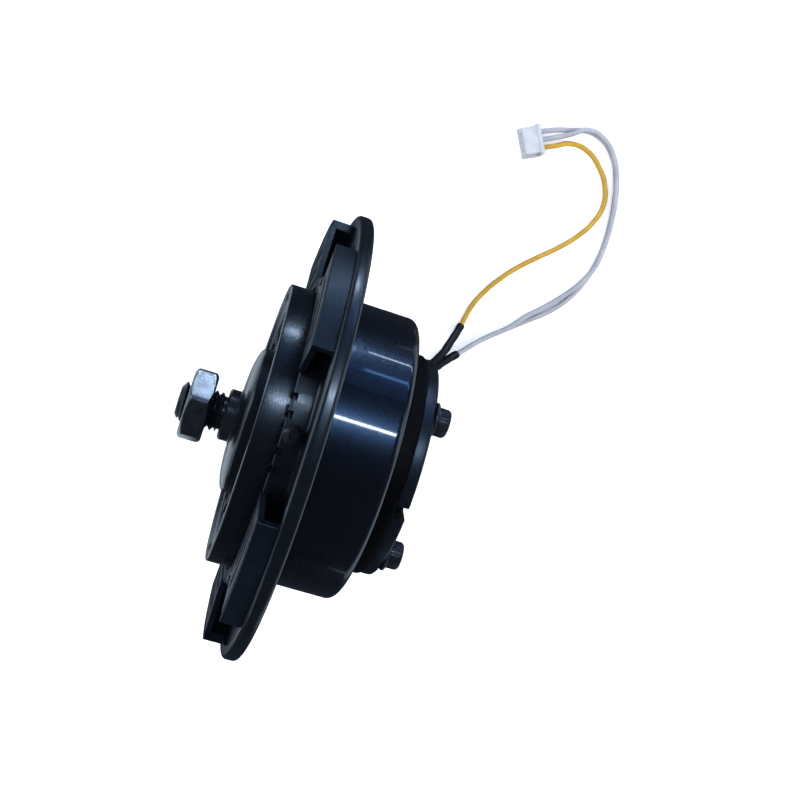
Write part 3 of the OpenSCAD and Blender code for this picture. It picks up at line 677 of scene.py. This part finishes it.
rings = [
    axle_ring(along, lambda a: thread_radius(a, along, THREAD_R, THREAD_DEPTH, THREAD_FROM, THREAD_TO))
    for along in spread(AXLE_TIP + 0.8, THREAD_TO, 0.125)
]
skin(axle, rings + [axle_ring(-0.5, lambda a: 4.1)], close_end=True)
tip = [(3.95, 0.35), (3.5, 0), (1.5, 0), (1.1, 0.5)]  # the end face and the mouth of its centre hole
tip_rings = [axle_ring(AXLE_TIP + back, lambda a: radius) for radius, back in tip]
skin(axle, rings[:1] + tip_rings)
point = axle.verts.new(turned_point(0, 0, AXLE_TIP + 1.5))
for k in range(TURNS):
    axle.faces.new([tip_rings[-1][k], tip_rings[-1][(k + 1) % TURNS], point])
shaft = rounded([
    (0, -0.7, 0), (4.2, -0.7, 0), (4.2, 0, 0), (6.1, 0, 0.3), (6.5, 0.5, 0.2), (6.5, 2.8, 0.2),
    (COLLAR_R, 2.8, 0.3), (COLLAR_R, BEARING_FRONT, 0), (6, BEARING_FRONT, 0), (6, 31.55, 0), (5.7, 31.55, 0),
    (5.7, 32.65, 0), (6, 32.65, 0), (6, AXLE_BACK, 0.5), (0, AXLE_BACK, 0),
])
add_turned(axle, shaft, turns=TURNS, closed=False)
piece("axle_shaft", axle, "stator", "black_oxide", ["axle"], sharp=50)

# The nut: chamfered on both faces, with a countersink at each end of its thread
NUT_FLATS, NUT_TURN = 17, 22.5
nut = bmesh.new()
corner = NUT_FLATS / 2 / math.cos(math.radians(30))
face_r = NUT_FLATS / 2 - 0.35
steps = [k * 3.75 for k in range(96)]


def hexagon(angle):
    """The nut's outer radius, with its corners slightly rounded off."""
    off = (angle - NUT_TURN + 30) % 60 - 30
    flat = NUT_FLATS / 2 / math.cos(math.radians(30 - abs(off)))
    return min(flat, corner - 0.22 + 0.02 * abs(off))


def nut_ring(radius_of, along_of):
    """A ring of the nut's skin, whose radius and place along the axle depend on the direction."""
    return [nut.verts.new(turned_point(radius_of(a), a, along_of(a))) for a in steps]


def nut_chamfer(angle):
    """How far the chamfer goes down the nut's side, more at its corners."""
    return 0.5 * max(0.0, hexagon(angle) - face_r) + 0.12


def nut_end(face, inward):
    """The rings of one end of the nut, from its bore to its flats; inward is the way into it, 1 or -1."""
    return [
        nut_ring(lambda a: THREAD_R + 0.05, lambda a: face + inward * 0.85),
        nut_ring(lambda a: THREAD_R + 0.85, lambda a: face),
        nut_ring(lambda a: face_r - 0.25, lambda a: face),
        nut_ring(lambda a: face_r, lambda a: face + inward * 0.06),
        nut_ring(lambda a: hexagon(a) - 0.12, lambda a: face + inward * (nut_chamfer(a) - 0.06)),
        nut_ring(hexagon, lambda a: face + inward * (nut_chamfer(a) + 0.14)),
    ]


nut_rings = nut_end(NUT_FROM, 1) + nut_end(NUT_TO, -1)[::-1]
skin(nut, nut_rings + nut_rings[:1])
piece("hex_nut", nut, "stator", "zinc", ["axle_nut"], sharp=24)

# ---------------------------------------------------------------- rear end

# The fixed bracket: its web and neck, two tubes in front of them, and the posts that take the screws
bracket = bmesh.new()
add_turned(bracket, rounded([
    (6, WEB_AT, 0), (NECK_R, WEB_AT, 0.4), (NECK_R, NECK_BACK, 0.5), (25.6, NECK_BACK, 0.4),
    (25.6, WEB_END, 0.6), (10.5, WEB_END, 0.6), (10.5, NECK_BACK, 0.3), (6, NECK_BACK, 0),
]), turns=192)
add_turned(bracket, rounded([
    (17.8, 17.6, 0.3), (20.5, 17.6, 0.3), (20.5, WEB_AT + 0.4, 0), (17.8, WEB_AT + 0.4, 0),
]), turns=128)
add_turned(bracket, rounded([
    (6, 33.4, 0.3), (10.5, 33.4, 0.5), (10.5, WEB_AT + 0.4, 0), (6, WEB_AT + 0.4, 0),
]), turns=96)
for direction in SCREW_DIRS:
    post = (SCREW_R, direction, (WEB_END + NECK_BACK) / 2 - 0.1)
    add_round(bracket, 3.4, post, NECK_BACK - WEB_END + 0.2, lean="axle", sides=48)
piece("stator_bracket", bracket, "stator", "bracket_black", ["rear_bracket"], sharp=35, weld=False)

# The rear plate, with a notch in its edge
rear = bmesh.new()
add_turned(rear, rounded([
    (0, NECK_BACK, 0), (PLATE_R, NECK_BACK, 0.35), (PLATE_R, PLATE_BACK, 0.7), (14.1, PLATE_BACK, 0.35),
    (13.5, PLATE_BACK - 0.6, 0.3), (0, PLATE_BACK - 0.6, 0),
], steps=5), turns=224, closed=False)
rear = piece("end_plate", rear, "stator", "satin_black", ["rear_plate"], sharp=30)
cuts = bmesh.new()
add_block(cuts, (7.5, 3.2, 8), (PLATE_R - 6.5 + 3.75, NOTCH_DIR, 45))
for direction in SCREW_DIRS:
    add_round(cuts, 2.15, (SCREW_R, direction, 45), 6, lean="axle")
carve(rear, cuts)
rear.data.shade_smooth()
round_edges(rear, 0.2, 2, 40)

# The cap screws with knurled heads and hex sockets, and their washers
HEAD_R, SOCKET_R, SIDES = 3.5, 1.73, 144


def even(radius):
    """The radii of a plain round ring."""
    return [radius] * SIDES


def hex_socket(angle):
    """The hex socket's radius in a direction, which is SOCKET_R at its corners."""
    return SOCKET_R * math.cos(math.radians(30)) / math.cos(math.radians(angle % 60 - 30))


knurl = [HEAD_R - (0.06 if i % 4 in (1, 2) else 0) for i in range(SIDES)]
socket = [hex_socket(i * 360 / SIDES) for i in range(SIDES)]
screws = bmesh.new()
washers = bmesh.new()
for direction in SCREW_DIRS:
    middle = (SCREW_R, direction)
    rings = [local_ring(screws, middle, radii, along) for radii, along in (
        (even(1.95), 38), (even(1.95), HEAD_AT), (even(HEAD_R - 0.25), HEAD_AT),
        (even(HEAD_R - 0.05), HEAD_AT + 0.2), (knurl, HEAD_AT + 0.35), (knurl, HEAD_END - 0.75),
        (even(HEAD_R - 0.05), HEAD_END - 0.6), (even(HEAD_R - 0.15), HEAD_END - 0.3),
        (even(HEAD_R - 0.45), HEAD_END), (even(2.1), HEAD_END),
        (socket, HEAD_END - 0.2), (socket, HEAD_END - 1.8), ([r * 0.6 for r in socket], HEAD_END - 1.9),
    )]
    skin(screws, rings, close_start=True, close_end=True)
    rings = [local_ring(washers, middle, [r] * 64, along) for r, along in (
        (2.15, PLATE_BACK), (4.3, PLATE_BACK), (4.4, PLATE_BACK + 0.12), (4.4, PLATE_BACK + 0.62),
        (4.22, PLATE_BACK + 0.8), (2.15, PLATE_BACK + 0.8),
    )]
    skin(washers, rings + rings[:1])
piece("cap_screws", screws, "stator", "black_oxide", ["plate_screws"], sharp=28, weld=False)
piece("washers", washers, "stator", "washer_black", ["plate_washers"], sharp=35, weld=False)

# ---------------------------------------------------------------- sleeves

STEPS = 6  # of a smooth line, between two points of its route


def smooth_route(route):
    """A route in millimetres as a smooth line through its points."""
    points = [Vector(p) for p in route]
    line = []
    for i in range(len(points) - 1):
        before = points[max(i - 1, 0)]
        a, b = points[i], points[i + 1]
        after = points[min(i + 2, len(points) - 1)]
        for k in range(STEPS):
            t = k / STEPS
            line.append(0.5 * (
                2 * a + (b - before) * t + (2 * before - 5 * a + 4 * b - after) * t * t
                + (3 * a - before - 3 * b + after) * t ** 3
            ))
    line.append(points[-1])
    return line


def heat_shrink(name, route, half_width, half_height, side, node):
    """A shrunk sleeve along a route: an oval section whose wide way follows side, slightly uneven, with an
    open end."""
    line = smooth_route(route)
    mesh = bmesh.new()
    turns = 28
    rings = []
    for i, here in enumerate(line):
        ahead = (line[min(i + 1, len(line) - 1)] - line[max(i - 1, 0)]).normalized()
        wide = side(here)
        wide = (wide - wide.dot(ahead) * ahead).normalized()
        high = ahead.cross(wide)
        waist = 1 + 0.035 * math.sin(i * 0.9) + 0.02 * math.sin(i * 2.3 + 1)
        rings.append([
            mesh.verts.new((here + wide * (half_width * waist * math.cos(2 * math.pi * k / turns))
                            + high * (half_height * waist * math.sin(2 * math.pi * k / turns))) * MM)
            for k in range(turns)
        ])
    inner = []
    for shrink, back in ((0.9, 0.0), (0.78, 0.35)):
        ahead = (line[-1] - line[-2]).normalized()
        middle = line[-1] - ahead * back
        inner.append([mesh.verts.new((middle + ((v.co / MM) - line[-1]) * shrink) * MM) for v in rings[-1]])
    skin(mesh, rings + inner, close_start=True, close_end=True)
    return piece(name, mesh, "stator", "sleeve", [node], sharp=50)


def pair_side(here):
    """The way from one lead of the pair to the other, beside a point of their sleeve."""
    a, b = (
        min(smooth_route(route), key=lambda p: (p - here).length) for route in (WHITE_A_ROUTE, WHITE_B_ROUTE)
    )
    return a - b


sleeve_yellow = heat_shrink(
    "yellow_sleeve", YELLOW_SLEEVE_ROUTE, 1.2, 1.2, lambda here: Vector((0, 1, 0.1)), "sleeve_yellow",
)
sleeve_white = heat_shrink("white_sleeve", WHITE_SLEEVE_ROUTE, 1.74, 1.22, pair_side, "sleeve_white")

# ---------------------------------------------------------------- connector

PLUG_CENTRE = Vector([round((low + high) / 2 / MM, 3) for low, high in zip(*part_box("connector_housing"))])
PLUG_TURN = Matrix.Rotation(math.radians(-62), 3, "Z")
PLUG_W, PLUG_LEN, PLUG_T, PLUG_PITCH = 9.4, 6.2, 5.4, 2.5
PLUG_LOW = -RING_R - PLUG_CENTRE.z


def plug_box(mesh, x, y, z):
    """A block in the connector's frame, from its ranges in millimetres; the leads enter on its -X side."""
    for v in bmesh.ops.create_cube(mesh, size=1)["verts"]:
        at = Vector([(low + high) / 2 + v.co[k] * (high - low) for k, (low, high) in enumerate((x, y, z))])
        v.co = (PLUG_CENTRE + PLUG_TURN @ at) * MM


def plug_bore(mesh, radius, x, y):
    """A round bar along the connector's own X, over a range, in the middle of its height."""
    for v in bar(mesh, radius, x[1] - x[0], 28):
        at = Vector(((x[0] + x[1]) / 2 + v.co.z, y + v.co.y, v.co.x))
        v.co = (PLUG_CENTRE + PLUG_TURN @ at) * MM


HALF, HALF_W, PLUG_TOP = PLUG_LEN / 2, PLUG_W / 2, PLUG_LOW + PLUG_T
core = bmesh.new()
plug_box(core, (-HALF + 1.4, HALF), (-HALF_W + 0.5, HALF_W - 0.5), (PLUG_LOW, PLUG_TOP))
core = piece("plug_body", core, "stator", "nylon", ["connector_housing"], bevel=0.45, segments=4, sharp=40)
collar = bmesh.new()
plug_box(collar, (-HALF, -HALF + 1.5), (-HALF_W, HALF_W), (PLUG_LOW, PLUG_TOP))
collar = piece("plug_collar", collar, "stator", "nylon", bevel=0.4, segments=4, sharp=40)
rails = bmesh.new()
for side in (-1, 1):
    low, high = sorted((side * (HALF_W - 0.6), side * HALF_W))
    plug_box(rails, (-HALF + 1.3, HALF), (low, high), (PLUG_LOW, PLUG_LOW + 1.7))
rails = piece("plug_rails", rails, "stator", "nylon", bevel=0.16, segments=2, sharp=40, weld=False)
CONTACT_PLACES = (-PLUG_PITCH, 0, PLUG_PITCH)
cuts = bmesh.new()
for y in CONTACT_PLACES:
    plug_bore(cuts, 0.95, (-HALF - 1, 0), y)
    plug_box(cuts, (-1.5, HALF - 0.7), (y - 0.95, y + 0.95), (-0.95, 0.95))
    plug_box(cuts, (HALF - 1, HALF + 1), (y - 0.45, y + 0.45), (-0.5, 0.5))
carve(core, cuts)
cuts = bmesh.new()
for y in CONTACT_PLACES:
    plug_bore(cuts, 0.95, (-HALF - 1, -HALF + 3), y)
carve(collar, cuts)

lead_yellow = cord_piece("yellow_lead", YELLOW_ROUTE, LEAD, "lead_yellow")
lead_white_a = cord_piece("white_lead_a", WHITE_A_ROUTE, LEAD, "lead_white")
lead_white_b = cord_piece("white_lead_b", WHITE_B_ROUTE, LEAD, "lead_white")
for lead, route, node, sleeve in (
    (lead_yellow, YELLOW_ROUTE, "lead_yellow", sleeve_yellow),
    (lead_white_a, WHITE_A_ROUTE, "lead_white_a", sleeve_white),
    (lead_white_b, WHITE_B_ROUTE, "lead_white_b", sleeve_white),
):
    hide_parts(node)

# ---------------------------------------------------------------- stage

floor_at = cad_box[0][2]
bpy.ops.mesh.primitive_plane_add(size=40, location=(0, 0, floor_at))
floor = bpy.context.object
floor.name = "floor"
floor_look = surface("floor_paper", (0.86, 0.86, 0.86), (0.88, 0.88, 0.88), (0.6, 0.7), 2, 0.01)
floor.data.materials.append(floor_look)
glow = floor_look.node_tree.nodes["Principled BSDF"]
glow.inputs["Emission Color"].default_value = (1, 1, 1, 1)
glow.inputs["Emission Strength"].default_value = 0.3


def dim_in_reflections(tree, bright, output, dark_kind, dark_colour):
    """Lets a shader be seen as it is directly, and as another, dark one in glossy reflections."""
    ray = tree.nodes.new("ShaderNodeLightPath")
    dark = tree.nodes.new(dark_kind)
    dark.inputs["Color"].default_value = (*dark_colour, 1)
    mix = tree.nodes.new("ShaderNodeMixShader")
    tree.links.new(ray.outputs["Is Glossy Ray"], mix.inputs["Fac"])
    tree.links.new(tree.nodes[bright].outputs[0], mix.inputs[1])
    tree.links.new(dark.outputs[0], mix.inputs[2])
    tree.links.new(mix.outputs["Shader"], tree.nodes[output].inputs["Surface"])


dim_in_reflections(
    floor_look.node_tree, "Principled BSDF", "Material Output",
    "ShaderNodeBsdfDiffuse", (0.013, 0.016, 0.023),
)


def lamp(name, towards, distance, size, power, colour=(1, 1, 1), shift=0.03):
    """A soft rectangular light of some watts that stands in a direction from a place along the axle and faces
    it; its distance, size and shift along the axle are in metres."""
    data = bpy.data.lights.new(name, "AREA")
    data.shape = "RECTANGLE"
    data.size, data.size_y = size
    data.energy = power
    data.color = colour
    made = bpy.data.objects.new(name, data)
    bpy.context.scene.collection.objects.link(made)
    away = Vector(towards).normalized()
    across = Vector((0, 1, 0))
    across = (across - across.dot(away) * away).normalized()
    turn = Matrix((across.cross(away), across, away)).transposed()
    made.matrix_world = Matrix.Translation(away * distance + Vector((0, shift, 0))) @ turn.to_4x4()
    return made


PALE_BLUE, SKY_BLUE = (0.74, 0.86, 1.0), (0.62, 0.78, 1.0)

# Narrow lamps, whose reflections are the streaks on the can and the rim
lamp("lamp_high", (-0.37, 0, 0.917), 0.9, (0.028, 0.35), 2.5, (0.66, 0.80, 1.0), 0.155)
lamp("window_rim", (-0.985, 0, 0.17), 0.9, (0.03, 0.13), 1.0, SKY_BLUE, 0.04)
lamp("window_streak", (-0.985, 0, 0.15), 0.9, (0.013, 0.4), 0.5, SKY_BLUE, 0.35)
lamp("window_mid", (-0.9, 0, 0.43), 0.9, (0.034, 0.4), 0.36, (0.2, 0.46, 1.0), 0.35)
# The wide window, the fills and the side lights
lamp("window_wide", (-0.93, 0.1, 0.36), 1.0, (0.7, 0.9), 0.65, (0.22, 0.45, 1.0))
lamp("front_fill", (-0.45, -0.85, 0.45), 1.1, (0.25, 0.6), 0.6, (0.60, 0.78, 1.0))
lamp("rear_fill", (-0.35, 0.9, 0.4), 1.1, (0.25, 0.6), 0.3, (0.60, 0.78, 1.0))
lamp("front_side", (-0.3, -1, 0.22), 1.1, (0.35, 0.6), 1.8, PALE_BLUE)
lamp("rear_side", (-0.3, 1, 0.22), 1.1, (0.35, 0.6), 0.8, PALE_BLUE)
# Soft light that adds no reflections
for soft in (
    lamp("front_soft", (0.35, -0.80, 0.65), 1.1, (0.7, 0.9), 10),
    lamp("rear_soft", (0.1, 0.85, 0.65), 1.1, (0.7, 0.9), 10),
):
    soft.visible_glossy = False

# Bounce cards that lie on the floor under the axle's line, face up, and show only in reflections
for name, middle, size, power in (
    ("front_card", -0.046, (0.15, 0.08), 0.03),
    ("front_table", -0.77, (1.0, 1.3), 3.6),
    ("rear_table", 0.89, (1.0, 1.54), 3.4),
):
    card = lamp(name, (0, 0, 1), 0, size, power, PALE_BLUE)
    card.matrix_world = Matrix.Translation((0, middle, floor_at + 0.001)) @ Matrix.Rotation(math.pi, 4, "X")
    card.visible_camera = card.visible_diffuse = False

world = bpy.data.worlds.new("studio")
bpy.context.scene.world = world
world.use_nodes = True
background = world.node_tree.nodes["Background"]
background.inputs["Color"].default_value = (0.93, 0.965, 1, 1)
background.inputs["Strength"].default_value = 0.8
dim_in_reflections(
    world.node_tree, "Background", "World Output",
    "ShaderNodeBackground", (0.03, 0.036, 0.05),
)
